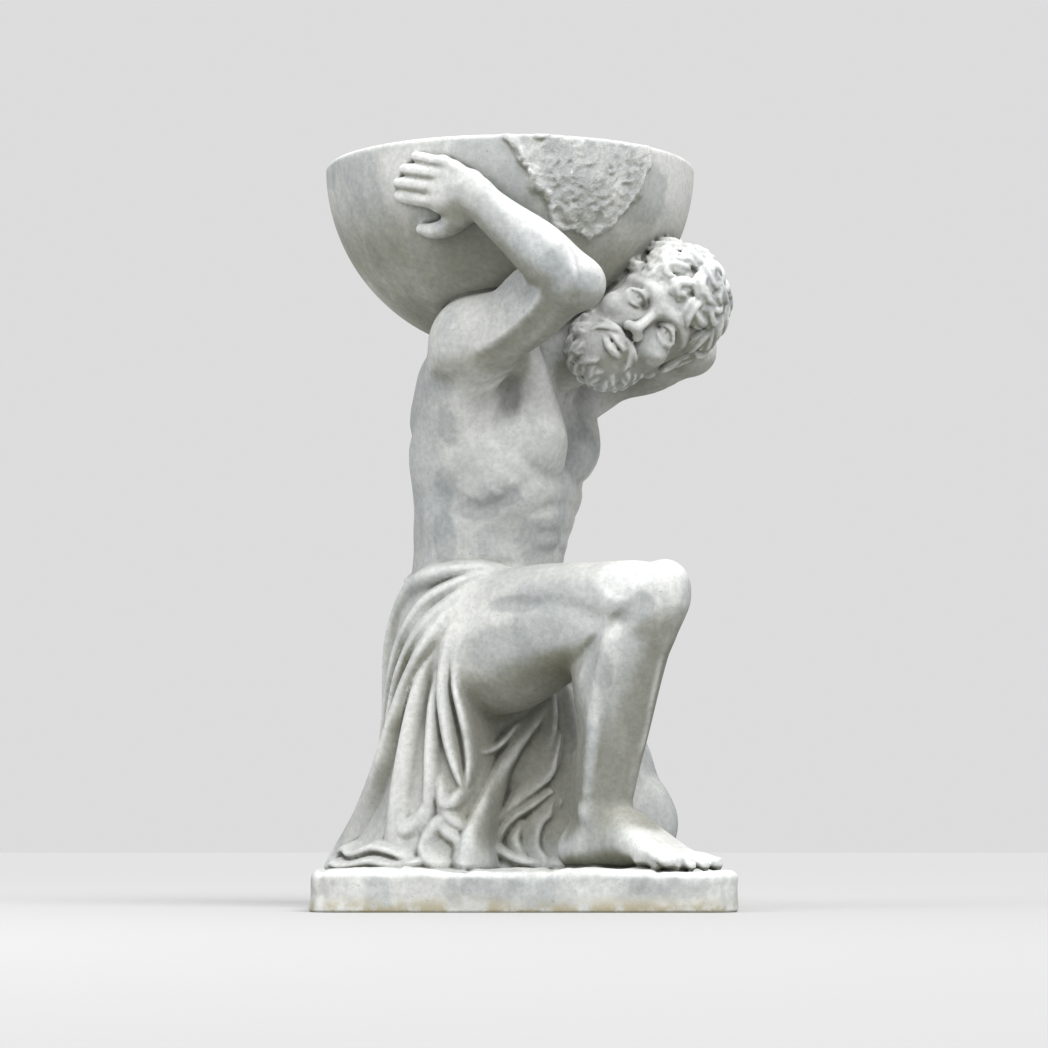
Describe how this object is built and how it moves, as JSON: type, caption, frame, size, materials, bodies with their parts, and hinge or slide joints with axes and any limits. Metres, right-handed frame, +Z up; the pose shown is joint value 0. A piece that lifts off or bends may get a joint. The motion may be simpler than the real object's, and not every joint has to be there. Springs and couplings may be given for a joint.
{
  "type": "garden planter statue",
  "caption": "Cast-stone garden statue of a kneeling bearded bearer in hip drapery, carrying an open half-globe planter bowl on shoulders and hands, on a low slab base",
  "frame": {"origin": "middle of the flat underside of the base slab", "axes": "+Z up, +X along the long side of the base slab, -Y to the side the picture shows"},
  "size_m": [0.6292, 0.6589, 1.14],
  "materials": {
    "cast_stone": "weathered pale grey cast stone, rough and matte"
  },
  "bodies": {
    "root": {"atlas_planter_casting": "cast_stone"}
  },
  "joints": []
}
